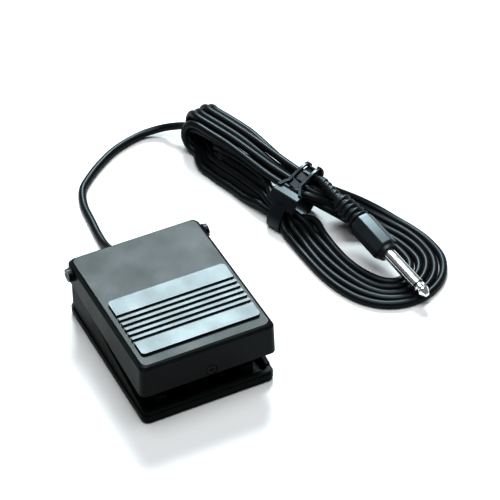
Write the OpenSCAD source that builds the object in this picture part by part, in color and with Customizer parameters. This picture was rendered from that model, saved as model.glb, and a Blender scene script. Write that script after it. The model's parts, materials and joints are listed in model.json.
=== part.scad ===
// Momentary foot switch: a hinged treadle over a shallow base, with a thin
// lead tied in a hank and a quarter-inch phone plug.
// Millimetres, +Z up, +X right, +Y back. The origin is on the floor under
// the middle of the body, and the toe edge faces -Y.

/* [Body] */
// Width of the treadle cover at its top edge
body_w = 68; // [66:1:70]
// Depth of the treadle cover at its top edge, front to back
body_d = 85; // [84:1:86]
// Height of the cover's top at the front edge
front_h = 35.8; // [35.4:0.1:36.4]
// Height of the cover's top at the back edge
back_h = 34.3; // [34:0.1:34.6]
// Height of the cover's skirt above the floor at the front
skirt_front_z = 18; // [17.5:0.1:19]
// Height of the cover's skirt above the floor at the back
skirt_back_z = 22.5; // [22.3:0.1:23]
// Wall thickness of the cover
cover_wall = 2; // [1.8:0.1:2.2]

/* [Tread] */
// Width of the raised tread pad
tread_w = 60; // [56:1:61]
// Depth of the raised tread pad
tread_d = 39.5; // [38:0.5:40]
// Height of the tread pad above the cover
tread_h = 1.2; // [1:0.1:1.4]
// Number of grooves across the tread pad
groove_count = 6; // [4:1:6]
// Distance from one groove to the next
groove_pitch = 3.6; // [3.2:0.1:3.8]

/* [Base] */
// Width of the base tray's walls
base_w = 66; // [65.5:0.5:66]
// Depth of the base tray's walls
base_d = 85; // [84:0.5:85]
// Wall thickness of the base tray
base_wall = 2; // [1.8:0.1:2]
// Height of the base walls at the front
base_front_z = 6.5; // [6:0.1:6.8]
// Height of the base walls at the back
base_back_z = 21.7; // [21:0.1:21.8]
// Thickness of the rubber mat under the base
mat_h = 1.5; // [1:0.1:1.5]

/* [Hinge] */
// Distance of the hinge line behind the body's middle
hinge_y = 36; // [35.5:0.1:36.2]
// Height of the hinge line above the floor
hinge_z = 29.5; // [29:0.1:29.6]
// Diameter of the hinge screws' heads
hinge_head_d = 6.4; // [5.6:0.1:6.6]

/* [Lead and plug] */
// Diameter of the lead
lead_d = 4; // [4:0.1:4]
// Diameter of the plug's sleeve
plug_d = 6.35; // [6.35:0.01:6.35]
// Height of the hank of lead at its tied end
hank_h = 24; // [23:0.5:25]

/* [Hidden] */
$fn = 48;
eps = 0.01;

// Colours
black = [0.07, 0.08, 0.08];
charcoal = [0.33, 0.37, 0.38];
tread_grey = [0.62, 0.66, 0.70];
rubber = [0.10, 0.10, 0.11];
steel = [0.72, 0.73, 0.75];
brass = [0.80, 0.65, 0.35];

// Cover: its top slopes down to the back, and its sides flare out to the skirt
top_mid_z = (front_h + back_h) / 2;
top_tilt = -atan((front_h - back_h) / body_d);
corner_r = 3;
edge_r = 1.9;
flare = 0.6;
skirt_low_z = 16;

// Base
floor_z = 3.5;
plinth_lip = 0.5;
plinth_top_z = 4.5;
slope_start_y = 36;
front_y = -base_d / 2;

// Shared fits
running_gap = 0.05;
thread_r = 1.25;
thread_hole_r = thread_r + running_gap;

// Hinge
shoulder_r = 2;
post_face_x = 30.5;
post_w = 6;
post_r = 2.4;
washer_x = 34.5;
washer_t = 0.5;
head_t = 1.7;

// Spring and bumpers
spring_at = [9, -16];
spring_mean_r = 4.6;
spring_wire_r = 0.55;
spring_turns = 7;
bumper_at = [22, -34];
bumper_top_z = 10.4;

// Catch that stops the cover from lifting past rest
catch_screw_at = [1, 21];
catch_bar_y = [-36, -34];

// Switch: a lever microswitch on its side wall
switch_x = [-16.2, -9.8];
switch_y = [-12, 8];
switch_z = [5, 15.2];
lever_pivot = [7.2, 16.2];
lever_rise = 16;
lever_length = 20.5;
lever_t = 0.4;
plunger_y = 1;
plunger_z = [13.7, 17.15];

// Lead exit through the back wall
exit_z = 9;
lead_r = lead_d / 2;
clamp_y = [31, 35];

// The free lead's route from the grommet's mouth to the hank
lead_route = [
    [0, 54, 9], [0, 60, 8.2], [-0.5, 67, 5.5], [-0.8, 75, 3],
    [-0.4, 84, 2], [0.6, 94, 2], [2.2, 108, 2], [6.3, 119, 2],
    [12.8, 125.8, 2], [22.2, 133.3, 2], [34.4, 140.6, 2], [50, 144.9, 2.4],
    [57.6, 144, 3.6], [62.4, 141.8, 5.2], [65, 138.8, 7.2], [68.1, 136.3, 8.4],
    [69.6, 132.6, 10.6]
];

// Hank: its own frame runs +X from the turned end to the open loop
hank_at = [75, 129, 0];
hank_turn = -69.65;
hank_side = [-10.5, 13.5];
hank_slope = [80, 112];
hank_slope_top = [[-24, 0], [-14, 17], [6, 17], [1, 0]];
loop_z = 4.1;

// Tie round the hank, and its section across the hank outside and inside
tie_x = [71, 79.3];
tie_outside = [
    [-21.4, 0], [-22.6, 2.6], [-22, 8], [-11.4, 20.4], [-8, 21.2], [1.5, hank_h],
    [7, hank_h - 0.4], [7.8, 21], [7.8, 13], [0, 0]
];
tie_inside = [
    [-20.6, 1.4], [-21.2, 3], [-20.6, 7.4], [-10.4, 19], [-7.6, 19.8], [1.8, hank_h - 1.4],
    [5.8, hank_h - 1.8], [6.4, 20.6], [6.4, 13.4], [-0.8, 1.4]
];
tie_window = [6, 3.8];
window_pitch = 5;

// The last of the lead, from the tie to the plug's boot, in the hank's frame
tail_route = [[80.2, 2.2, 21.2], [81.4, 2.5, 21.6], [82.6, 2.8, 21.9], [83.7, 3, 22]];

// Plug: its own frame runs +Z from the tip to the boot
plug_at = [121.4, -31.7, 7.7];
plug_heading = 99.84;
plug_rise = 9.61;
plug_tip_len = 6.9;
tip_r = 2.95;
plug_ring_len = 0.9;
plug_metal_len = 30.5;
plug_collar_len = 2.3;
plug_handle_len = 21.2;
plug_boot_len = 31.5;
plug_boot_fat = 16.5;
plug_total = plug_metal_len + plug_collar_len + plug_handle_len + plug_boot_len;

// ---------- helpers ----------

// A rectangle with round corners, made of true arcs
module round_rect(w, d, r) {
    square([w - 2 * r, d], center = true);
    square([w, d - 2 * r], center = true);
    for (x = [-1, 1], y = [-1, 1]) {
        translate([x * (w / 2 - r), y * (d / 2 - r)]) circle(r);
    }
}

// A box from one corner to the other
module box(low, high) {
    translate(low) cube(high - low);
}

// A cylinder along +Y from y0 to y1
module rod_y(x, z, r, y0, y1) {
    translate([x, y0, z]) rotate([-90, 0, 0]) cylinder(r = r, h = y1 - y0);
}

// A cylinder along +X from x0 to x1
module rod_x(y, z, r, x0, x1) {
    translate([x0, y, z]) rotate([0, 90, 0]) cylinder(r = r, h = x1 - x0);
}

// A side profile in Y and Z, drawn out along X
module profile_x(points, x0, x1) {
    translate([x0, 0, 0]) rotate([90, 0, 90]) linear_extrude(x1 - x0) polygon(points);
}

// Directions along a route, and a tube swept along it
function unit(v) = v / norm(v);
function along(p, i) = unit(p[min(i + 1, len(p) - 1)] - p[max(i - 1, 0)]);
function sideways(t) = unit(cross(abs(t.z) > 0.95 ? [1, 0, 0] : [0, 0, 1], t));
function ring(p, t, r, n) = let (u = sideways(t), v = cross(t, u))
    [for (k = [0:n - 1]) let (q = 360 * (k + 0.5) / n) p + r * (cos(q) * u + sin(q) * v)];

module tube(points, r, sides) {
    count = len(points);
    skin = [for (i = [0:count - 1]) each ring(points[i], along(points, i), r, sides)];
    walls = [for (i = [0:count - 2], k = [0:sides - 1])
        let (m = (k + 1) % sides, a = i * sides, b = a + sides)
        each [[a + k, a + m, b + k], [a + m, b + m, b + k]]];
    caps = [[for (k = [sides - 1:-1:0]) k],
        [for (k = [0:sides - 1]) (count - 1) * sides + k]];
    polyhedron(skin, concat(caps, walls), convexity = 10);
}

// Height of the cover's sloping top at a given Y
function top_z(y) = top_mid_z + y * tan(top_tilt);

// Turns its children with the cover's sloping top
module on_top() {
    translate([0, 0, top_mid_z]) rotate([top_tilt, 0, 0]) children();
}

module in_hank() {
    translate(hank_at) rotate([0, 0, hank_turn]) children();
}

module in_plug() {
    translate(plug_at) rotate([0, 90 - plug_rise, plug_heading]) children();
}

// ---------- pedal ----------

// The cover's outer form, or its hollow when shrunk by the wall
module cover_form(inset, low_z) {
    r = corner_r - inset / 2;
    hull() {
        on_top() for (step = [[0, edge_r], [0.6, 0.9], [edge_r, 0]]) {
            translate([0, 0, -inset - step[0]]) linear_extrude(eps)
                round_rect(body_w - 2 * (inset + step[1]), body_d - 2 * (inset + step[1]), r, $fn = 32);
        }
        translate([0, 0, low_z]) linear_extrude(eps)
            round_rect(body_w + 2 * (flare - inset), body_d + 2 * (flare - inset), r, $fn = 32);
    }
}

module pedal_cover() {
    color(charcoal) {
        difference() {
            union() {
                difference() {
                    cover_form(0, skirt_low_z);
                    cover_form(cover_wall, skirt_low_z - 1);
                }
                // boss behind the front screw
                rod_y(catch_screw_at[0], catch_screw_at[1], 4, -41.5, -39.6);
            }
            // the skirt's lower edge rises towards the back
            profile_x([[-60, 0], [-60, skirt_front_z - 0.8], [slope_start_y, skirt_back_z],
                [60, skirt_back_z], [60, 0]], -50, 50);
            // bores for the hinge screws
            rod_x(hinge_y, hinge_z, shoulder_r + running_gap, -40, 40);
            // front screw's recess and hole
            rod_y(catch_screw_at[0], catch_screw_at[1], 3, -46, -41.6);
            rod_y(catch_screw_at[0], catch_screw_at[1], thread_hole_r, -46, -36);
        }
        // ring that holds the top of the return spring
        translate([spring_at[0], spring_at[1], 27]) difference() {
            cylinder(r = 7.4, h = top_z(spring_at[1]) - cover_wall - 26.7);
            translate([0, 0, -1]) cylinder(r = 5.9, h = 20);
        }
        // stop posts over the bumpers
        for (side = [-1, 1]) {
            translate([side * bumper_at[0], bumper_at[1], 19])
                cylinder(r = 3, h = top_z(bumper_at[1]) - cover_wall - 18.7);
        }
        // post that presses the switch's lever
        translate([(switch_x[0] + switch_x[1]) / 2, -10, 24]) {
            sphere(r = 2);
            cylinder(r = 2, h = top_z(-10) - cover_wall - 23.7);
        }
    }
}

module tread_pad() {
    tread_mid_y = -14.9;
    first_groove = 8.2;
    groove_w = 1.9;
    color(tread_grey) on_top() translate([0.4, tread_mid_y, 0]) difference() {
        linear_extrude(tread_h) round_rect(tread_w, tread_d, 2);
        for (i = [0:groove_count - 1]) {
            translate([0, first_groove - i * groove_pitch, tread_h])
                cube([tread_w + 2, groove_w, 1.9], center = true);
        }
    }
}

// ---------- base ----------

module base_tray() {
    color(black) difference() {
        union() {
            difference() {
                union() {
                    translate([0, 0, mat_h]) linear_extrude(plinth_top_z - mat_h)
                        round_rect(base_w + 2 * plinth_lip + 0.6, base_d + 2 * plinth_lip + 0.2, 3.5);
                    translate([0, 0, mat_h]) linear_extrude(base_back_z - mat_h)
                        round_rect(base_w, base_d, 3);
                }
                translate([0, 0, floor_z]) linear_extrude(40)
                    round_rect(base_w - 2 * base_wall, base_d - 2 * base_wall, 1.5);
            }
            // hinge posts, rounded over the hinge line
            for (side = [-1, 1]) {
                x0 = side > 0 ? post_face_x - post_w : -post_face_x;
                rod_x(hinge_y, hinge_z, post_r, x0, x0 + post_w);
                box([x0, hinge_y - post_r, floor_z - 1], [x0 + post_w, hinge_y + post_r, hinge_z]);
            }
            // post inside the return spring
            translate([spring_at[0], spring_at[1], floor_z - 1]) cylinder(r = 3.2, h = 8.5);
            // catch bar on two posts
            for (x = [-9, 7]) {
                box([x + catch_screw_at[0], catch_bar_y[0], floor_z - 1],
                    [x + 2 + catch_screw_at[0], catch_bar_y[1], 17]);
            }
            box([-9 + catch_screw_at[0], catch_bar_y[0], 15.9],
                [9 + catch_screw_at[0], catch_bar_y[1], 18]);
            // wall that the switch is screwed to
            box([switch_x[1], switch_y[0], floor_z - 1], [switch_x[1] + 2.6, switch_y[1], 13]);
            box([switch_x[0], switch_y[0], floor_z - 1], [switch_x[1] + 1, switch_y[1], switch_z[0]]);
            // saddle and bosses for the cord clamp
            box([-3, clamp_y[0], floor_z - 1], [3, clamp_y[1], exit_z - lead_r]);
            for (side = [-1, 1]) {
                translate([side * 6.5, (clamp_y[0] + clamp_y[1]) / 2, floor_z - 1])
                    cylinder(r = 2.6, h = exit_z - floor_z + 1);
            }
        }
        // side walls slope down to the front
        profile_x([[-60, base_front_z], [front_y, base_front_z], [slope_start_y - 3.5, base_back_z - 0.7],
            [slope_start_y - 3.5, 60], [-60, 60]], -50, -base_w / 2 + base_wall);
        profile_x([[-60, base_front_z], [front_y, base_front_z], [slope_start_y - 3.5, base_back_z - 0.7],
            [slope_start_y - 3.5, 60], [-60, 60]], base_w / 2 - base_wall, 50);
        box([-50, -60, base_front_z], [50, front_y + base_wall + 2, 60]);
        // hole for the grommet
        rod_y(0, exit_z, 3.6, 38, 50);
        // pilot holes
        for (side = [-1, 1]) {
            rod_x(hinge_y, hinge_z, thread_hole_r, side > 0 ? 25.5 : -40, side > 0 ? 40 : -25.5);
            translate([side * 6.5, (clamp_y[0] + clamp_y[1]) / 2, floor_z]) cylinder(r = thread_hole_r, h = 10);
        }
        for (y = [-7, 3]) {
            rod_x(y, 9.5, thread_hole_r, switch_x[1] - 1, switch_x[1] + 5);
        }
    }
}

module base_mat() {
    color(rubber) linear_extrude(mat_h) round_rect(base_w - 0.4, base_d - 0.4, 3);
}

// ---------- hinge ----------

module hinge_screw(side) {
    color(steel) rotate([0, 0, side > 0 ? 0 : 180]) translate([0, side * hinge_y, 0]) difference() {
        union() {
            rod_x(0, hinge_z, thread_r, 26, post_face_x);
            rod_x(0, hinge_z, shoulder_r, post_face_x, washer_x + washer_t);
            rod_x(0, hinge_z, hinge_head_d / 2, washer_x + washer_t, washer_x + washer_t + head_t);
        }
        // driver slot
        box([washer_x + washer_t + 0.9, -4, hinge_z - 0.4], [washer_x + 4, 4, hinge_z + 0.4]);
    }
}

module hinge_screw_left() {
    hinge_screw(-1);
}

module hinge_screw_right() {
    hinge_screw(1);
}

module hinge_washer(side) {
    color(rubber) rotate([0, 0, side > 0 ? 0 : 180]) translate([0, side * hinge_y, 0]) difference() {
        rod_x(0, hinge_z, hinge_head_d / 2 + 0.3, washer_x, washer_x + washer_t);
        rod_x(0, hinge_z, shoulder_r + running_gap, washer_x - 1, washer_x + 1);
    }
}

module hinge_washer_left() {
    hinge_washer(-1);
}

module hinge_washer_right() {
    hinge_washer(1);
}

// ---------- return spring, stops and catch ----------

module return_spring() {
    low = floor_z + spring_wire_r;
    high = top_z(spring_at[1]) - cover_wall - 0.4 - spring_wire_r;
    steps = 16;
    count = spring_turns * steps;
    color(steel) tube([for (i = [0:count]) let (q = 360 * i / steps)
        [spring_at[0] + spring_mean_r * cos(q), spring_at[1] + spring_mean_r * sin(q),
            low + (high - low) * i / count]], spring_wire_r, 8);
}

module stop_bumpers() {
    color(rubber) for (side = [-1, 1]) {
        translate([side * bumper_at[0], bumper_at[1], floor_z])
            cylinder(r = 4, h = bumper_top_z - floor_z);
    }
}

module catch_bracket() {
    x = catch_screw_at[0];
    color(steel) {
        difference() {
            box([x - 4, -39.6, 14.6], [x + 4, -38.8, 24.5]);
            rod_y(x, catch_screw_at[1], thread_hole_r, -41, -37);
        }
        box([x - 4, -38.9, 14.6], [x + 4, -34.8, 15.4]);
    }
}

module catch_screw() {
    x = catch_screw_at[0];
    z = catch_screw_at[1];
    color(steel) difference() {
        union() {
            rod_y(x, z, 2.5, -42.8, -41.6);
            rod_y(x, z, thread_r, -41.7, -38.2);
        }
        box([x - 1.6, -44, z - 0.3], [x + 1.6, -42.2, z + 0.3]);
        box([x - 0.3, -44, z - 1.6], [x + 0.3, -42.2, z + 1.6]);
    }
}

// ---------- switch ----------

module switch_body() {
    mid_x = (switch_x[0] + switch_x[1]) / 2;
    color(black) difference() {
        union() {
            box([switch_x[0], switch_y[0], switch_z[0]], [switch_x[1], switch_y[1], switch_z[1]]);
            // ears that hold the lever's pin
            for (x = [switch_x[0], switch_x[1] - 0.9]) {
                box([x, lever_pivot[0] - 1.2, switch_z[1] - 1], [x + 0.9, switch_y[1], lever_pivot[1] + 1.2]);
            }
        }
        translate([mid_x, plunger_y, 11.6]) cylinder(r = thread_hole_r, h = 10);
        for (y = [-7, 3]) {
            rod_x(y, 9.5, thread_hole_r, switch_x[0] - 1, switch_x[1] + 1);
        }
        rod_x(lever_pivot[0], lever_pivot[1], 0.65, switch_x[0] - 1, switch_x[1] + 1);
    }
}

module switch_plunger() {
    color([0.75, 0.25, 0.2]) translate([(switch_x[0] + switch_x[1]) / 2, plunger_y, plunger_z[0]])
        cylinder(r = thread_r, h = plunger_z[1] - plunger_z[0]);
}

module switch_lever() {
    color(steel) translate([switch_x[0] + 1.1, lever_pivot[0], lever_pivot[1]]) difference() {
        union() {
            rod_x(0, 0, 1, 0, 4.2);
            rotate([-lever_rise, 0, 0]) box([0.2, -lever_length, -lever_t / 2], [4, -0.85, lever_t / 2]);
        }
        rod_x(0, 0, 0.65, -1, 6);
    }
}

module switch_pivot_pin() {
    color(steel) rod_x(lever_pivot[0], lever_pivot[1], 0.6, switch_x[0], switch_x[1]);
}

module switch_screws() {
    color(steel) for (y = [-7, 3]) {
        rod_x(y, 9.5, 2, switch_x[0] - 1.3, switch_x[0]);
        rod_x(y, 9.5, thread_r, switch_x[0] - 0.1, switch_x[1] + 2.2);
    }
}

module switch_terminals() {
    color(brass) for (z = [7.5, 11.5]) {
        box([-14.4, switch_y[1], z], [-11.6, switch_y[1] + 4.5, z + 0.5]);
    }
}

module signal_wire() {
    color([0.75, 0.12, 0.10]) tube([[-13, 12.5, 11.75], [-13, 14.5, 11.75], [-11, 17.5, 11.2],
        [-7, 20, 10.3], [-3, 22.5, 9.5], [-0.9, 25, 9], [-0.9, 27, 9]], 0.65, 8);
}

module ground_wire() {
    color([0.85, 0.85, 0.82]) tube([[-13, 12.5, 7.75], [-13, 15, 7.75], [-9.5, 17.8, 7.2],
        [-4.5, 19.5, 6.6], [-0.5, 21.7, 7.2], [0.9, 24.6, 8.6], [0.9, 27, 9]], 0.65, 8);
}

// ---------- lead, inside and out ----------

module cord_clamp() {
    color(black) difference() {
        box([-9.5, clamp_y[0], exit_z], [9.5, clamp_y[1], exit_z + 4]);
        rod_y(0, exit_z, lead_r + running_gap, clamp_y[0] - 1, clamp_y[1] + 1);
        for (side = [-1, 1]) {
            translate([side * 6.5, (clamp_y[0] + clamp_y[1]) / 2, 0]) cylinder(r = thread_hole_r, h = 20);
        }
    }
}

module cord_clamp_screws() {
    color(steel) for (side = [-1, 1]) {
        translate([side * 6.5, (clamp_y[0] + clamp_y[1]) / 2, 4]) {
            cylinder(r = thread_r, h = exit_z + 0.1);
            translate([0, 0, exit_z]) cylinder(r = 2.2, h = 1.4);
        }
    }
}

module cord_jacket_end() {
    color(black) rod_y(0, exit_z, lead_r, 27, 38.9);
}

module cord_grommet() {
    color(rubber) translate([0, 38.9, exit_z]) rotate([-90, 0, 0]) rotate_extrude()
        polygon([[0, 0], [4.6, 0], [4.6, 1.4], [3.5, 1.5], [3.5, 3.7], [4.8, 3.8], [4.8, 5.2],
            [3.4, 5.8], [2.7, 15.1], [0, 15.1]]);
}

module cord_lead() {
    color(black) tube(lead_route, lead_r, 10);
}

// A section across the hank, drawn out along it
module across(points, x0, x1) {
    translate([x0, 0, 0]) rotate([90, 0, 90]) linear_extrude(x1 - x0) polygon(points);
}

// The space that the tied lead fills: tall where its loops turn over on edge,
// then sloping down to a flat open loop
module cord_hank() {
    mid = (hank_side[0] + hank_side[1]) / 2;
    r = (hank_side[1] - hank_side[0]) / 2;
    color(black) in_hank() {
        difference() {
            hull() {
                translate([4, mid, 0]) cylinder(r = r, h = hank_h);
                across(tie_outside, hank_slope[0] - 1, hank_slope[0]);
            }
            // waist under the tie
            difference() {
                box([tie_x[0] - 0.3, -40, -1], [tie_x[1] + 0.3, 40, 40]);
                across(tie_inside, tie_x[0] - 1, tie_x[1] + 1);
            }
        }
        hull() {
            across(hank_slope_top, hank_slope[0] - 0.1, hank_slope[0] + 1);
            translate([hank_slope[1], -32, 0]) cube([1, 56, loop_z]);
        }
        hull() {
            translate([hank_slope[1], -32, 0]) cube([1, 57, loop_z]);
            translate([135.4, -4.6, 0]) cylinder(r = 30, h = loop_z, $fn = 64);
        }
    }
}

module cord_tail() {
    color(black) in_hank() tube(tail_route, lead_r, 10);
}

// A ladder strap round the hank, with a flat head on its near side
module cord_tie() {
    mid_x = (tie_x[0] + tie_x[1]) / 2;
    color(black) in_hank() {
        difference() {
            across(tie_outside, tie_x[0], tie_x[1]);
            across(tie_inside, tie_x[0] - 1, tie_x[1] + 1);
            for (i = [-1:1]) {
                translate([mid_x, i * window_pitch - 1.4, hank_h])
                    cube([tie_window[0], tie_window[1], 9.4], center = true);
            }
        }
        // head
        box([tie_x[0] - 3, -15.6, hank_h - 5.8], [tie_x[1] + 5.2, -11.4, hank_h - 4]);
        // tail
        box([tie_x[1] - 3, 6.8, hank_h - 4.6], [tie_x[1] + 3.2, 8.1, hank_h - 0.8]);
    }
}

// ---------- plug ----------

module plug_tip() {
    color(steel) in_plug() rotate_extrude() polygon([[0, 0], [1.2, 0.3], [tip_r, 3.2], [tip_r, 3.9],
        [2.0, 5.2], [2.0, 5.6], [tip_r, 6.1], [tip_r, plug_tip_len], [0, plug_tip_len]]);
}

module plug_insulators() {
    color(black) in_plug() translate([0, 0, plug_tip_len]) cylinder(r = tip_r - 0.05, h = plug_ring_len);
}

module plug_sleeve() {
    color(steel) in_plug() translate([0, 0, plug_tip_len + plug_ring_len])
        cylinder(r = plug_d / 2, h = plug_metal_len - plug_tip_len - plug_ring_len);
}

module plug_collar() {
    color(black) in_plug() translate([0, 0, plug_metal_len]) cylinder(r = 5.2, h = plug_collar_len);
}

module plug_handle() {
    color(charcoal) in_plug() translate([0, 0, plug_metal_len + plug_collar_len])
        intersection() {
            cylinder(r = 6.8, h = plug_handle_len);
            rotate([0, 0, 22.5]) cylinder(r = 6.9, h = plug_handle_len, $fn = 8);
        }
}

// Ribbed boot: fat ribs next to the handle, then thin ones
module plug_boot() {
    fat_ribs = 5;
    thin_ribs = 5;
    fat_step = plug_boot_fat / fat_ribs;
    thin_step = (plug_boot_len - plug_boot_fat) / thin_ribs;
    color(black) in_plug() translate([0, 0, plug_total - plug_boot_len]) {
        cylinder(r = 4.2, h = plug_boot_fat);
        for (i = [0:fat_ribs - 1]) {
            translate([0, 0, i * fat_step]) cylinder(r = 6.1 - 0.3 * i, h = fat_step * 0.62);
        }
        translate([0, 0, plug_boot_fat]) {
            cylinder(r = 2.25, h = plug_boot_len - plug_boot_fat);
            for (i = [0:thin_ribs - 1]) {
                translate([0, 0, i * thin_step]) cylinder(r = 2.85, h = thin_step * 0.55);
            }
        }
    }
}

base_tray();
base_mat();
pedal_cover();
tread_pad();
hinge_screw_left();
hinge_screw_right();
hinge_washer_left();
hinge_washer_right();
return_spring();
stop_bumpers();
catch_bracket();
catch_screw();
switch_body();
switch_plunger();
switch_lever();
switch_pivot_pin();
switch_screws();
switch_terminals();
signal_wire();
ground_wire();
cord_clamp();
cord_clamp_screws();
cord_jacket_end();
cord_grommet();
cord_lead();
cord_hank();
cord_tail();
cord_tie();
plug_boot();
plug_handle();
plug_collar();
plug_sleeve();
plug_insulators();
plug_tip();
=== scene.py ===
"""Looks of a momentary foot switch: a hinged treadle, a thin lead tied in a hank and a phone plug.

Everything is in metres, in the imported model's frame: +X right, +Y back, +Z up, floor at z = 0.
"""

import json
from math import cos, pi, radians, sin

import bmesh
import bpy
from mathutils import Matrix, Vector


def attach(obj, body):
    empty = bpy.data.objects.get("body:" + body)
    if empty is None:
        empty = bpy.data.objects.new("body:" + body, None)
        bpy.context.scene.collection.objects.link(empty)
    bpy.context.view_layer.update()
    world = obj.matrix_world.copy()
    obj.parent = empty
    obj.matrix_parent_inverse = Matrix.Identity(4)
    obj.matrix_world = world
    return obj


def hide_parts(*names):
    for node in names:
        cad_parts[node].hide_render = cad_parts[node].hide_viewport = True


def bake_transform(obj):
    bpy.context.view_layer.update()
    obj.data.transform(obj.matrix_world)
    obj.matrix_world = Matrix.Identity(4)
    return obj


MM = 0.001
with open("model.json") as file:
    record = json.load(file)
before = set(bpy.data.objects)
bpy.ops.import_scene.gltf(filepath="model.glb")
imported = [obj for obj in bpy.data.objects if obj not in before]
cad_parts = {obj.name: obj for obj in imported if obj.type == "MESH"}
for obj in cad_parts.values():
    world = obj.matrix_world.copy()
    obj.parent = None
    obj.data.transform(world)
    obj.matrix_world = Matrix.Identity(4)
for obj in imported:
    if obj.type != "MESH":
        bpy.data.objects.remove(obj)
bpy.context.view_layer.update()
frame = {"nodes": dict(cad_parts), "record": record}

# ---------- camera ----------

CAMERA_AZIMUTH = radians(-26.4)
CAMERA_ELEVATION = radians(42.43)
CAMERA_TARGET = Vector((0.06305, 0.04274, 0))
CAMERA_DISTANCE = 1.2327
CAMERA_LENS_MM = 179.5
CAMERA_SENSOR_MM = 36


def add_camera():
    """The camera at the photograph's viewing angle."""
    data = bpy.data.cameras.new("camera")
    data.lens = CAMERA_LENS_MM
    data.sensor_width = CAMERA_SENSOR_MM
    data.clip_start = 0.05
    camera = bpy.data.objects.new("camera", data)
    bpy.context.scene.collection.objects.link(camera)
    back = Vector((
        sin(CAMERA_AZIMUTH) * cos(CAMERA_ELEVATION),
        -cos(CAMERA_AZIMUTH) * cos(CAMERA_ELEVATION),
        sin(CAMERA_ELEVATION),
    ))
    camera.location = CAMERA_TARGET + CAMERA_DISTANCE * back
    camera.rotation_euler = (-back).to_track_quat("-Z", "Y").to_euler()
    bpy.context.scene.camera = camera


add_camera()

# ---------- route of the lead ----------

LEAD_D = 4 * MM
LEAD_STEP = 1.6  # between the centreline's points

# The free lead from the grommet's mouth to the hank, in millimetres
LEAD_ROUTE = [
    (0, 54, 9), (0, 60, 8.2), (-0.5, 67, 5.5), (-0.8, 75, 3),
    (-0.4, 84, 2.2), (0.6, 94, 2.1), (2.2, 108, 2), (6.3, 119, 2),
    (12.8, 125.8, 2), (22.2, 133.3, 2), (34.4, 140.6, 2), (50, 144.9, 2.4),
    (57.6, 144, 3.6), (62.4, 141.8, 5.2), (65, 138.8, 7.2), (68.1, 136.3, 8.4),
    (69.6, 132.6, 10.6),
]

# The hank's own frame: s runs from the turned end to the open loop, side runs across, to the far side
HANK_AT = Vector((75, 129, 0))
HANK_TURN = Matrix.Rotation(radians(-69.65), 3, "Z")
LANE = 4.0  # strands lie one diameter apart
BOTTOM_Z = 2.4  # where the strands meet the turned end's foot
TIE_S = 74.6  # middle of the tie
# Five loops, numbered -2 to 2 from the inside of the open loop outwards. At the turned end each takes one
# of these seats, as (side, z) on top; the last strand, to the plug, lies next to the farthest.
SEATS = [(-6.3, 19.2), (-2.1, 20), (1.9, 19.2), (5.9, 20), (9.7, 18.4)]
SEAT_OF = {-2: 0, -1: 1, 0: 2, 1: 4, 2: 3}
TURN_S = [7, 2.6, 3.2, 3.8, 4.8]  # where each seat's turn begins
TURN_BOW = [-0.6, 3.1, 3.1, 3.1, 2.6]  # how far it bows aside, to let the lead in beside the first
TURN_REACH = 8.1  # how far each turn reaches past where it begins
TURN_LEAN = 0.65  # half of how far its foot lies to the near side of its top
TURN_STEPS = 8
TOP_S = (15, 29, 43, 56, 66, TIE_S)  # where the looped strands' points lie on the hank's top
# Where they pass through the tie, as (side, z)
TIE_TOP = [(-8.4, 17.1), (-3.6, 18.3), (0.2, 16.1), (4.6, 16.6)]
# The middle lane of the open loop, from the tie's top round to its underside, as (s, side, z)
LOOP = [
    (84, 3, 13), (91, 7, 10), (99, 10.5, 7), (108, 13.6, 4), (117, 15.3, 2.3), (127, 15.9, 2),
    (137, 14.6, 2), (146, 10.9, 2), (152, 3.9, 2), (154.4, -5, 2), (152.8, -13.7, 2),
    (147.4, -20.2, 2), (139.5, -23.8, 2), (129, -24.8, 2), (117, -23.6, 2), (105, -20.6, 2),
    (94, -17, 2.2), (84, -13.4, 3),
]
LEAVE_TIE = [0.3, 0.66, 0.92]  # how far the first loop points have left the tie's line
OVER_FIRST_LOOP = [1.8, 1.2, 0.6]  # extra height of the second loop at those points
WANDER = 0.3  # how far the looped strands stray from even lanes
# Middle of the bottom strands from the tie to the turned end, as (s, side, z)
UNDERSIDE = [
    (TIE_S, -13.8, 6.6), (66, -13.6, 8), (60, -12.5, 8), (54, -11.7, 7.8), (48, -11.2, 7.7), (42, -10.5, 7.6),
    (36, -10.2, 7.5), (30, -9.9, 7.1), (24, -9.2, 6.8), (18, -7.5, 5), (13, -4.3, 3.3),
]
# The lead's first strand runs inside the hank, under the others
INNER_STRAND = [
    (2, -4.4, 13.4), (10, -4.9, 15.2), (24, -4.8, 15.5), (44, -4.7, 15.6), (62, -4.6, 15),
    (TIE_S, -4.6, 14.2),
]
# The last strand runs to the tie over the others, and on into the plug's boot
LAST_STRAND = [
    (14, 5.9, 20), (28, 5.5, 20), (42, 4.3, 20.2), (56, 2.8, 20.3), (66, 2.3, 20), (TIE_S, 2.2, 19.9),
    (79.2, 2.4, 20.7), (81.4, 2.6, 21.4), (82.6, 2.8, 21.8), (84.3, 3.1, 22),
]
# Where the strands make each change, as (from s, to s)
TO_THE_TIE = (22, 66)  # on top, from their seats to their places in the tie
TO_A_ROW = (8, 20)  # underneath, from open lanes to a close row
TO_A_BUNDLE = (50, 66)  # from the row to the bundle in the tie
HALF_TURN = [(135, (86, 58)), (45, (26, 10))]  # the degrees turned, and where
TO_THE_SEATS = (30, 10)  # from the order of the lanes to that of the seats
ROW_SQUEEZE, BUNDLE_SQUEEZE = 0.4, 1.5  # how much closer the lanes lie
ROW_ZIGZAG, BUNDLE_ZIGZAG = 0.4, 1.4  # how far every other strand lies above and below
CROSSING = 2.4  # how far the last strand passes over its neighbour


def smooth(t):
    """0 to 1 with a soft start and end."""
    t = min(max(t, 0), 1)
    return t * t * (3 - 2 * t)


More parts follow.
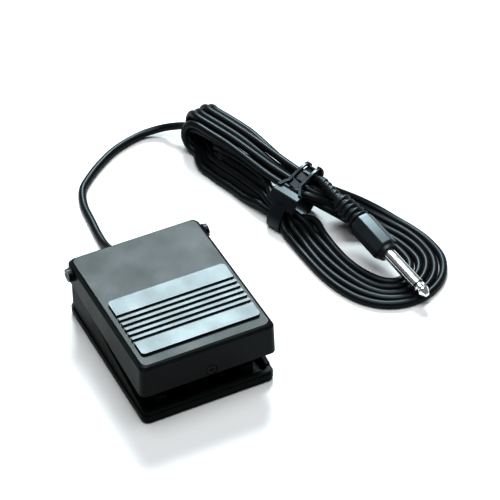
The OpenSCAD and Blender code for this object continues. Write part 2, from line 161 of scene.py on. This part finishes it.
def change(s, span):
    """How much of a change over this span of s is done, 0 to 1."""
    start, end = span
    return smooth((s - start) / (end - start))


def in_hank(s, side, z):
    """A point of the hank's own frame in the model's frame, in millimetres."""
    return HANK_AT + HANK_TURN @ Vector((s, side, z))


def top_strand(lane):
    """Strand on the hank's top from its turned end to the tie."""
    seat = SEATS[SEAT_OF[lane]]
    at_tie = TIE_TOP[lane + 2]
    points = []
    for s in TOP_S:
        near_tie = change(s, TO_THE_TIE)
        side = (1 - near_tie) * seat[0] + near_tie * at_tie[0]
        z = (1 - near_tie) * seat[1] + near_tie * at_tie[1]
        points.append((s, side, z))
    return points


def loop_strand(lane, at_tie):
    """Strand round the open loop, with its lanes counted outwards and straying a little unevenly."""
    points = []
    for i, (s, side, z) in enumerate(LOOP):
        before, after = LOOP[max(i - 1, 0)], LOOP[min(i + 1, len(LOOP) - 1)]
        along = Vector((after[0] - before[0], after[1] - before[1])).normalized()
        wander = WANDER * sin(1.3 * i + 2.1 * lane)
        out = LANE * lane + wander
        p = Vector((s - out * along.y, side + out * along.x, z))
        if i < len(LEAVE_TIE):
            p = Vector((s, *at_tie)).lerp(p, LEAVE_TIE[i])
            if lane == -1:
                p.z += OVER_FIRST_LOOP[i]
        points.append(tuple(p))
    return points


def bottom_strand(lane):
    """Strand under the hank from the tie to the turned end. The bundle makes half a turn, most of it in
    the tie, and the last strand crosses over its neighbour, so that the lanes come out in the order of
    the seats."""
    points = []
    for s, side, z in UNDERSIDE:
        packed = change(s, TO_A_ROW)
        bundled = change(s, TO_A_BUNDLE)
        turn = -sum(radians(angle) * change(s, span) for angle, span in HALF_TURN)
        seated = change(s, TO_THE_SEATS)
        pitch = LANE - (ROW_SQUEEZE + BUNDLE_SQUEEZE * bundled) * packed
        across = -pitch * ((1 - seated) * lane + seated * (SEAT_OF[lane] - 2))
        up = (ROW_ZIGZAG + BUNDLE_ZIGZAG * bundled) * packed * (1 if lane % 2 else -1)
        if lane == 2:
            up -= CROSSING * sin(pi * seated)
        point_side = side + across * cos(turn) - up * sin(turn)
        point_z = z + across * sin(turn) + up * cos(turn)
        points.append((s, point_side, point_z))
    return points


def end_turn(lane):
    """Turn on edge from the underside to the top."""
    seat = SEAT_OF[lane]
    top_side, top_z = SEATS[seat]
    half_height = (top_z - BOTTOM_Z) / 2
    points = []
    for step in range(TURN_STEPS + 1):
        q = pi * step / TURN_STEPS
        s = TURN_S[seat] - TURN_REACH * sin(q)
        side = top_side - TURN_LEAN * (1 + cos(q)) + TURN_BOW[seat] * sin(q)
        points.append((s, side, BOTTOM_Z + half_height * (1 - cos(q))))
    return points


def lead_points():
    """The whole lead from the grommet to the plug's boot, in the model's frame, in millimetres."""
    hank = list(INNER_STRAND)
    at_tie = INNER_STRAND[-1][1:]
    for lane in range(-2, 3):
        hank += loop_strand(lane, at_tie)
        hank += bottom_strand(lane)
        hank += end_turn(lane)
        if lane < 2:
            hank += top_strand(lane)
            at_tie = TIE_TOP[lane + 2]
    hank += LAST_STRAND
    return [Vector(p) for p in LEAD_ROUTE] + [in_hank(*p) for p in hank]


def through(points, step):
    """Smooth curve through the points (centripetal Catmull-Rom), with a point about every step."""
    ends = [2 * points[0] - points[1], *points, 2 * points[-1] - points[-2]]
    line = []
    for a, b, c, d in zip(ends, ends[1:], ends[2:], ends[3:]):
        ta = 0
        tb = ta + (b - a).length ** 0.5
        tc = tb + (c - b).length ** 0.5
        td = tc + (d - c).length ** 0.5
        count = max(int((c - b).length / step), 1)
        for i in range(count):
            t = tb + (tc - tb) * i / count
            p = a.lerp(b, (t - ta) / (tb - ta))
            q = b.lerp(c, (t - tb) / (tc - tb))
            r = c.lerp(d, (t - tc) / (td - tc))
            pq = p.lerp(q, (t - ta) / (tc - ta))
            qr = q.lerp(r, (t - tb) / (td - tb))
            line.append(pq.lerp(qr, (t - tb) / (tc - tb)))
    line.append(points[-1].copy())
    return line


def make_lead():
    """The lead as one curve, with its radius at every point."""
    line = [MM * p for p in through(lead_points(), LEAD_STEP)]
    data = bpy.data.curves.new("lead", "CURVE")
    data.dimensions = "3D"
    data.bevel_depth = 1  # times each point's radius
    data.bevel_resolution = 4
    data.use_fill_caps = True
    spline = data.splines.new("POLY")
    spline.points.add(len(line) - 1)
    for point, co in zip(spline.points, line):
        point.co = (*co, 1)
        point.radius = LEAD_D / 2
    spline.use_smooth = True
    lead = bpy.data.objects.new("lead", data)
    bpy.context.scene.collection.objects.link(lead)
    return lead


lead = make_lead()
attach(lead, "base")
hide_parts("cord_lead", "cord_hank", "cord_tail")

# ---------- shaped pieces ----------

BEVEL_ANGLE = radians(50)  # edges sharper than this are bevelled
HANK = Matrix.Translation(HANK_AT) @ HANK_TURN.to_4x4()
RIBBON_STEP = 0.8  # between the points of a bent bar


def solid(name, corners, faces, matrix, bevel, smooth_angle):
    """A mesh from corners in millimetres, placed in the model's frame by a matrix."""
    mesh = bpy.data.meshes.new(name)
    mesh.from_pydata([tuple(MM * (matrix @ Vector(c))) for c in corners], [], faces)
    mesh.update()
    b = bmesh.new()
    b.from_mesh(mesh)
    bmesh.ops.recalc_face_normals(b, faces=b.faces)
    b.to_mesh(mesh)
    b.free()
    piece = bpy.data.objects.new(name, mesh)
    bpy.context.scene.collection.objects.link(piece)
    mesh.shade_smooth()
    mesh.set_sharp_from_angle(angle=radians(smooth_angle))
    if bevel:
        modifier = piece.modifiers.new("edges", "BEVEL")
        modifier.width = bevel * MM
        modifier.segments = 2
        modifier.limit_method = "ANGLE"
        modifier.angle_limit = BEVEL_ANGLE
    return piece


def ribbon(name, points, width_way, width, thickness, bevel=0.2):
    """A flat bar in the hank's frame. One face follows the points, and the bar's thickness lies to the side
    that the way along it, crossed with its width, points to."""
    path = [Vector(p) for p in points]
    if len(path) > 2:
        path = through(path, RIBBON_STEP)
    width_way = Vector(width_way).normalized()
    corners, faces = [], []
    for i, p in enumerate(path):
        along = path[min(i + 1, len(path) - 1)] - path[max(i - 1, 0)]
        depth = along.cross(width_way).normalized() * thickness
        half = width_way * width / 2
        corners += [p - half, p + half, p + half + depth, p - half + depth]
    last = 4 * (len(path) - 1)
    for i in range(0, last, 4):
        faces += [(i + k, i + (k + 1) % 4, i + 4 + (k + 1) % 4, i + 4 + k) for k in range(4)]
    faces += [(3, 2, 1, 0), (last, last + 1, last + 2, last + 3)]
    return solid(name, corners, faces, HANK, bevel, smooth_angle=40)


def joined(name, pieces):
    """One object from several meshes, with their modifiers applied."""
    bpy.context.view_layer.update()
    graph = bpy.context.evaluated_depsgraph_get()
    b = bmesh.new()
    for piece in pieces:
        mesh = bpy.data.meshes.new_from_object(piece.evaluated_get(graph))
        b.from_mesh(mesh)
    mesh = bpy.data.meshes.new(name)
    b.to_mesh(mesh)
    b.free()
    for piece in pieces:
        bpy.data.objects.remove(piece)
    whole = bpy.data.objects.new(name, mesh)
    bpy.context.scene.collection.objects.link(whole)
    return whole


# ---------- tie ----------

ALONG_HANK = (1, 0, 0)
# The strap's underside across the hank's top, from its far side to its near side, as (side, z)
STRAP_TOP = [
    (7.4, 20.6), (7.3, 22.4), (6.3, 23.6), (4, 24), (1.2, 23.7), (-2, 22.8), (-5, 22), (-8.4, 21.1),
]
# The plain band's inner face, from the head down and under the hank to its far side
STRAP_BELOW = [
    (-12.9, 18.6), (-15, 16.4), (-18.4, 12), (-21.4, 7.4), (-22.2, 4.4), (-21.6, 1.6), (-19, 0.4), (-10, 0.3),
    (-2, 0.4), (1.6, 2.4), (3.6, 6), (6, 12), (7.2, 17), (7.4, 20.6),
]
RAILS = [71.9, 79.3]  # s of each rail's middle
ARMS = [(71.7, 69.3), (79.5, 83.3)]  # s where each rail's arm starts, and where it meets the head
ARM_ENDS = [(-7.6, 21.25), (-12.4, 20)]  # as (side, z)
RUNGS = [6.2, 1.2, -3.8]  # side of each rung
RUNG_DEPTH = 0.1  # from the strap's underside down to the rungs' tops
HEAD = [(84.4, -13.5, 20.1), (68.2, -13.5, 20.1)]
HEAD_SLOPE = (0, 1, 0.16)
HEAD_PLATE = [(75.8, -13.9, 19.3), (75.8, -15.6, 16.4), (75.8, -17.8, 12.4)]
FREE_END_S, FREE_END_DEPTH, FREE_END_TILT = 75.6, 2.3, (1, 0, -0.3)
BAND_S = 75.1
TAIL = [(77.4, 7.3, 23), (80, 7.2, 23.2), (82, 6.4, 22.8), (83.2, 4.9, 21.8)]
TAIL_TILT = (0, 0.35, 1)


def strap_z(side):
    """Height of the strap's underside at this side position."""
    for (a, za), (b, zb) in zip(STRAP_TOP, STRAP_TOP[1:]):
        if b <= side <= a:
            return za + (zb - za) * (side - a) / (b - a)
    return STRAP_TOP[-1][1]


def make_tie():
    """Ladder tie: rails and rungs over the top, with the strap's free end under them, a head strip and its
    plate along the near edge, a plain band below, and the tail on the far side."""
    pieces = []
    for s in RAILS:
        pieces.append(ribbon("rail", [(s, *p) for p in STRAP_TOP], ALONG_HANK, width=1.8, thickness=1.2))
    for ends in ARMS:
        arm = [(s, *p) for s, p in zip(ends, ARM_ENDS)]
        pieces.append(ribbon("arm", arm, ALONG_HANK, width=2.1, thickness=1.3))
    for side in RUNGS:
        slope = Vector((0, 1, strap_z(side + 0.5) - strap_z(side - 0.5)))
        rung = [(s, side, strap_z(side) - RUNG_DEPTH) for s in reversed(RAILS)]
        pieces.append(ribbon("rung", rung, slope, width=1.5, thickness=1.0, bevel=0.15))
    pieces.append(ribbon("head", HEAD, HEAD_SLOPE, width=4.2, thickness=1.5, bevel=0.3))
    pieces.append(ribbon("head plate", HEAD_PLATE, ALONG_HANK, width=16.8, thickness=0.9))
    free_end = [(FREE_END_S, side, z - FREE_END_DEPTH) for side, z in STRAP_TOP[2:]]
    pieces.append(ribbon("free end", free_end, FREE_END_TILT, width=6.6, thickness=0.7))
    band = [(BAND_S, *p) for p in STRAP_BELOW]
    pieces.append(ribbon("band", band, ALONG_HANK, width=8.3, thickness=1.1))
    pieces.append(ribbon("tail", TAIL, TAIL_TILT, width=3.2, thickness=0.9))
    return joined("tie", pieces)


tie = make_tie()
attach(tie, "base")
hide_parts("cord_tie")

# ---------- return spring ----------


def make_spring():
    """The return spring, between the tray and the cover, as a piece of its own copied from its node."""
    node = frame["nodes"]["return_spring"]
    spring = bpy.data.objects.new("spring", node.data.copy())
    spring.matrix_world = node.matrix_world
    bpy.context.scene.collection.objects.link(spring)
    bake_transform(spring)
    return spring


spring = make_spring()
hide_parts("return_spring")

# ---------- plug ----------

# The plug's own frame: heights run from the end of its tip to the end of its boot
PLUG_AT = Vector((121.4, -31.7, 7.7))
PLUG_HEADING = radians(99.84)
PLUG_RISE = radians(9.61)
PLUG = (Matrix.Translation(PLUG_AT) @ Matrix.Rotation(PLUG_HEADING, 4, "Z")
        @ Matrix.Rotation(pi / 2 - PLUG_RISE, 4, "Y"))
# Where the pieces of the plug end, in millimetres
METAL_END, COLLAR_END, HANDLE_END, BOOT_END = 30.5, 32.8, 54.0, 85.5
TURNED_SIDES = 48
AXIS_R = 1e-4  # a turned piece's ends close to this radius
HANDLE_SIDES = 8
# The grip's corners, as (height, radius)
HANDLE_RINGS = [
    (COLLAR_END, 6.1), (COLLAR_END + 0.7, 6.85), (HANDLE_END - 2.2, 6.85), (HANDLE_END - 0.5, 6.5),
    (HANDLE_END, 6.1),
]
# As (radius, height)
COLLAR_PROFILE = [
    (0, METAL_END), (4.6, METAL_END), (5.0, METAL_END + 0.25), (5.2, METAL_END + 0.8), (5.2, COLLAR_END),
    (0, COLLAR_END),
]
BOOT_BASE_R, BOOT_TIP_R = 6.2, 2.2
# The boot's fat ribs and slim ribs, as (count, step, rib radius, its taper, core radius, its taper)
RIBS = [(5, 3.3, 6.1, 0.3, 4.3, 0.12), (5, 3.0, 2.85, 0.06, 2.25, 0)]
RIB_POINTS = 8
RIB_ROUNDNESS = 0.45  # less is squarer
RIB_WIDTH, GROOVE_END = 0.68, 0.98  # in steps


def lathe(name, profile):
    """A turned piece of the plug from (radius, height) points."""
    corners, faces = [], []
    for r, h in profile:
        r = max(r, AXIS_R)
        for k in range(TURNED_SIDES):
            a = 2 * pi * k / TURNED_SIDES
            corners.append((r * cos(a), r * sin(a), h))
    for low in range(0, TURNED_SIDES * (len(profile) - 1), TURNED_SIDES):
        high = low + TURNED_SIDES
        for k in range(TURNED_SIDES):
            n = (k + 1) % TURNED_SIDES
            faces.append((low + k, low + n, high + n, high + k))
    return solid(name, corners, faces, PLUG, bevel=0, smooth_angle=35)


def boot_profile():
    """Strain relief: five fat rounded ribs, then five slim ones, round a slender core."""
    profile = [(0, HANDLE_END), (BOOT_BASE_R, HANDLE_END)]
    start = HANDLE_END
    for count, step, rib_r, rib_taper, core_r, core_taper in RIBS:
        for i in range(count):
            core = core_r - core_taper * i
            rib = rib_r - rib_taper * i - core
            for q in range(RIB_POINTS + 1):
                t = q / RIB_POINTS
                profile.append((core + rib * sin(pi * t) ** RIB_ROUNDNESS, start + RIB_WIDTH * step * t))
            profile.append((core, start + GROOVE_END * step))
            start += step
    return profile + [(BOOT_TIP_R, BOOT_END), (0, BOOT_END)]


def make_handle():
    """Eight-sided grip with softened edges, a little narrower at both ends."""
    corners, faces = [], []
    for h, r in HANDLE_RINGS:
        for k in range(HANDLE_SIDES):
            a = 2 * pi * (k + 0.5) / HANDLE_SIDES
            corners.append((r * cos(a), r * sin(a), h))
    top = HANDLE_SIDES * (len(HANDLE_RINGS) - 1)
    for low in range(0, top, HANDLE_SIDES):
        high = low + HANDLE_SIDES
        for k in range(HANDLE_SIDES):
            n = (k + 1) % HANDLE_SIDES
            faces.append((low + k, low + n, high + n, high + k))
    faces += [tuple(range(HANDLE_SIDES - 1, -1, -1)), tuple(range(top, top + HANDLE_SIDES))]
    handle = solid("handle", corners, faces, PLUG, bevel=0.45, smooth_angle=20)
    handle.modifiers["edges"].angle_limit = radians(15)
    handle.modifiers["edges"].segments = 3
    return handle


def make_plug():
    """The turned and moulded pieces of the plug, each replacing its own node."""
    pieces = {
        "plug_boot": (lathe("boot", boot_profile()), "plug_rubber"),
        "plug_handle": (make_handle(), "plug_shell"),
        "plug_collar": (lathe("collar", COLLAR_PROFILE), "plug_rubber"),
    }
    for node, (piece, slot) in pieces.items():
        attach(piece, "base")
        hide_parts(node)
    return [(piece, slot) for piece, slot in pieces.values()]


plug_pieces = make_plug()

# ---------- materials ----------

NOISE_LOW, NOISE_HIGH = 0.3, 0.7  # nearly all of a noise lies between these
BLOTCH_SCALE = 60
METAL_MARK_SCALE, METAL_MARK_DEPTH, METAL_MARK_STRENGTH = 400, 0.02, 0.3
PAINTED_COOL_SHEEN = (0.8, 0.93, 1)  # painted cool tint of the shine on the lead, the tie and the plug, bluer than the lamps
PAINTED_PALE_SHEEN = (0.88, 0.96, 1)  # and a paler painted tint of the shine on the tread pad


def shader(name, colour, roughness, metallic=0.0, specular=0.5, gleam=(1, 1, 1)):
    """A material with its Principled shader and its node tree."""
    material = bpy.data.materials.new(name)
    material.use_nodes = True
    tree = material.node_tree
    bsdf = tree.nodes["Principled BSDF"]
    bsdf.inputs["Base Color"].default_value = (*colour, 1)
    bsdf.inputs["Roughness"].default_value = roughness
    bsdf.inputs["Metallic"].default_value = metallic
    bsdf.inputs["Specular IOR Level"].default_value = specular
    # Where a tint other than white is given, it paints the reflections bluer than the lamps make them
    bsdf.inputs["Specular Tint"].default_value = (*gleam, 1)
    return material, tree, bsdf


def add_noise(tree, scale, detail):
    """Noise in object space, in metres: its Fac output."""
    place = tree.nodes.new("ShaderNodeTexCoord")
    noise = tree.nodes.new("ShaderNodeTexNoise")
    noise.inputs["Scale"].default_value = scale
    noise.inputs["Detail"].default_value = detail
    tree.links.new(place.outputs["Object"], noise.inputs["Vector"])
    return noise.outputs["Fac"]


def remap(tree, value, low, high):
    """A noise's usual range mapped to low..high."""
    node = tree.nodes.new("ShaderNodeMapRange")
    node.inputs["From Min"].default_value = NOISE_LOW
    node.inputs["From Max"].default_value = NOISE_HIGH
    node.inputs["To Min"].default_value = low
    node.inputs["To Max"].default_value = high
    tree.links.new(value, node.inputs["Value"])
    return node.outputs["Result"]


def tint(tree, value, dark, light):
    """Colour between two tints."""
    node = tree.nodes.new("ShaderNodeMix")
    node.data_type = "RGBA"
    node.inputs["A"].default_value = (*dark, 1)
    node.inputs["B"].default_value = (*light, 1)
    tree.links.new(value, node.inputs["Factor"])
    return node.outputs["Result"]


def bump(tree, bsdf, height, distance, strength):
    """Fine relief of this height map."""
    node = tree.nodes.new("ShaderNodeBump")
    node.inputs["Distance"].default_value = distance
    node.inputs["Strength"].default_value = strength
    tree.links.new(height, node.inputs["Height"])
    tree.links.new(node.outputs["Normal"], bsdf.inputs["Normal"])


def moulded(name, dark, light, rough, grain_scale, grain_depth, **extra):
    """Moulded plastic or rubber: blotchy colour and gloss, and a fine grain with its depth in millimetres."""
    material, tree, bsdf = shader(name, dark, rough[0], **extra)
    blotch = add_noise(tree, BLOTCH_SCALE, 3)
    tree.links.new(tint(tree, remap(tree, blotch, 0, 1), dark, light), bsdf.inputs["Base Color"])
    tree.links.new(remap(tree, blotch, *rough), bsdf.inputs["Roughness"])
    bump(tree, bsdf, add_noise(tree, grain_scale, 2), grain_depth * MM, 1)
    return material


def metal(name, colour, rough):
    """Metal with fine marks in its gloss."""
    material, tree, bsdf = shader(name, colour, rough[0], metallic=1.0)
    marks = add_noise(tree, METAL_MARK_SCALE, 4)
    tree.links.new(remap(tree, marks, *rough), bsdf.inputs["Roughness"])
    bump(tree, bsdf, marks, METAL_MARK_DEPTH * MM, METAL_MARK_STRENGTH)
    return material


MATERIALS = {
    "cover_plastic": moulded(
        "cover", (0.0029, 0.0043, 0.0046), (0.0048, 0.0067, 0.007), (0.37, 0.43), 2600, 0.03, specular=0.105,
    ),
    "tread_plastic": moulded(
        "tread", (0.0048, 0.0064, 0.0077), (0.0096, 0.012, 0.0136), (0.28, 0.35), 2400, 0.02, specular=0.165,
        gleam=PAINTED_PALE_SHEEN,
    ),
    "black_plastic": moulded(
        "base", (0.0026, 0.0038, 0.0034), (0.0045, 0.0058, 0.0053), (0.42, 0.52), 2600, 0.03, specular=0.06,
    ),
    "cord_jacket": moulded(
        "jacket", (0.0015, 0.0017, 0.0019), (0.0026, 0.0028, 0.0031), (0.38, 0.46), 1500, 0.01, specular=0.18,
        gleam=PAINTED_COOL_SHEEN,
    ),
    "mat_rubber": moulded(
        "mat", (0.0032, 0.0032, 0.0032), (0.0056, 0.0056, 0.0056), (0.7, 0.8), 1800, 0.06, specular=0.1,
    ),
    "grommet_rubber": moulded(
        "grommet", (0.0032, 0.0032, 0.0032), (0.0048, 0.0048, 0.0053), (0.5, 0.6), 1800, 0.03, specular=0.1,
    ),
    "tie_nylon": moulded(
        "tie", (0.0035, 0.0045, 0.0051), (0.0058, 0.0072, 0.008), (0.3, 0.4), 1200, 0.02, specular=0.24,
        gleam=PAINTED_COOL_SHEEN,
    ),
    "plug_rubber": moulded(
        "boot", (0.0032, 0.0038, 0.0045), (0.0056, 0.0066, 0.0075), (0.36, 0.44), 1600, 0.02, specular=0.36,
        gleam=PAINTED_COOL_SHEEN,
    ),
    "plug_shell": moulded(
        "shell", (0.004, 0.0052, 0.0062), (0.0067, 0.0084, 0.0098), (0.36, 0.44), 2200, 0.03, specular=0.42,
        gleam=PAINTED_COOL_SHEEN,
    ),
    "black_nylon": moulded(
        "nylon", (0.004, 0.004, 0.0045), (0.0064, 0.0064, 0.0069), (0.4, 0.5), 1800, 0.02, specular=0.13,
    ),
    "bumper_rubber": moulded(
        "bumper", (0.0032, 0.0032, 0.0032), (0.0056, 0.0056, 0.0056), (0.7, 0.8), 1800, 0.05, specular=0.1,
    ),
    "switch_plastic": moulded(
        "switch", (0.0048, 0.0048, 0.0053), (0.008, 0.008, 0.0088), (0.45, 0.55), 2000, 0.03, specular=0.15,
    ),
    "plunger_plastic": moulded("plunger", (0.35, 0.04, 0.03), (0.42, 0.05, 0.04), (0.3, 0.4), 1500, 0.01),
    "red_insulation": moulded("red wire", (0.38, 0.02, 0.015), (0.45, 0.03, 0.02), (0.35, 0.45), 1500, 0.01),
    "white_insulation": moulded("white wire", (0.6, 0.6, 0.57), (0.7, 0.7, 0.67), (0.35, 0.45), 1500, 0.01),
    "black_screw": metal("black oxide", (0.02, 0.02, 0.022), (0.3, 0.45)),
    "black_steel": metal("black steel", (0.02, 0.02, 0.022), (0.35, 0.5)),
    "spring_steel": metal("spring steel", (0.5, 0.51, 0.53), (0.25, 0.35)),
    "zinc_screw": metal("zinc", (0.6, 0.6, 0.6), (0.3, 0.4)),
    "brass": metal("brass", (0.7, 0.5, 0.2), (0.25, 0.35)),
    "nickel": metal("nickel", (0.9, 0.89, 0.87), (0.14, 0.24)),
}
SLOT_OF = {part["node"]: part["material_slot"] for part in frame["record"]["subparts"]}
for name, node in frame["nodes"].items():
    node.data.materials.clear()
    node.data.materials.append(MATERIALS[SLOT_OF[name]])
for piece, slot in [(lead, "cord_jacket"), (tie, "tie_nylon"), (spring, "spring_steel")] + plug_pieces:
    piece.data.materials.clear()
    piece.data.materials.append(MATERIALS[slot])

# ---------- floor and light ----------

FLOOR_HALF = 4.0
FLOOR_COLOUR = (0.46, 0.45, 0.45)
WORLD_COLOUR = (0.9, 0.95, 1.0)
WORLD_STRENGTH = 0.25
LIGHT_AIM = Vector((0.05, 0.05, 0))
# As (name, place, size, watts, colour)
LIGHTS = [
    ("key", (0.93, 1.94, 2.16), 0.9, 222, (0.84, 0.97, 1.0)),
    ("overhead", (-0.1, -0.1, 2.2), 1.6, 88, (0.95, 0.99, 1.0)),
]
VIEW_GAMMA = 0.8


def make_floor():
    """A floor that reaches far past the view."""
    mesh = bpy.data.meshes.new("floor")
    corners = [(x * FLOOR_HALF, y * FLOOR_HALF, 0) for x, y in ((-1, -1), (1, -1), (1, 1), (-1, 1))]
    mesh.from_pydata(corners, [], [(0, 1, 2, 3)])
    floor = bpy.data.objects.new("floor", mesh)
    bpy.context.scene.collection.objects.link(floor)
    mesh.materials.append(shader("floor", FLOOR_COLOUR, 0.9, specular=0.1)[0])


def area_light(name, place, size, power, colour):
    """A square light that faces the object."""
    data = bpy.data.lights.new(name, "AREA")
    data.shape = "SQUARE"
    data.size = size
    data.energy = power
    data.color = colour
    light = bpy.data.objects.new(name, data)
    light.location = place
    light.rotation_euler = (LIGHT_AIM - Vector(place)).to_track_quat("-Z", "Y").to_euler()
    bpy.context.scene.collection.objects.link(light)


def make_light():
    """A key light from behind the object, a large one above it, and an even sky."""
    world = bpy.data.worlds.new("world")
    world.use_nodes = True
    background = world.node_tree.nodes["Background"]
    background.inputs["Color"].default_value = (*WORLD_COLOUR, 1)
    background.inputs["Strength"].default_value = WORLD_STRENGTH
    bpy.context.scene.world = world
    for light in LIGHTS:
        area_light(*light)


make_floor()
make_light()
bpy.context.scene.view_settings.view_transform = "Standard"
bpy.context.scene.view_settings.gamma = VIEW_GAMMA

# ---------- last update of the scene -------------


bpy.context.view_layer.update()
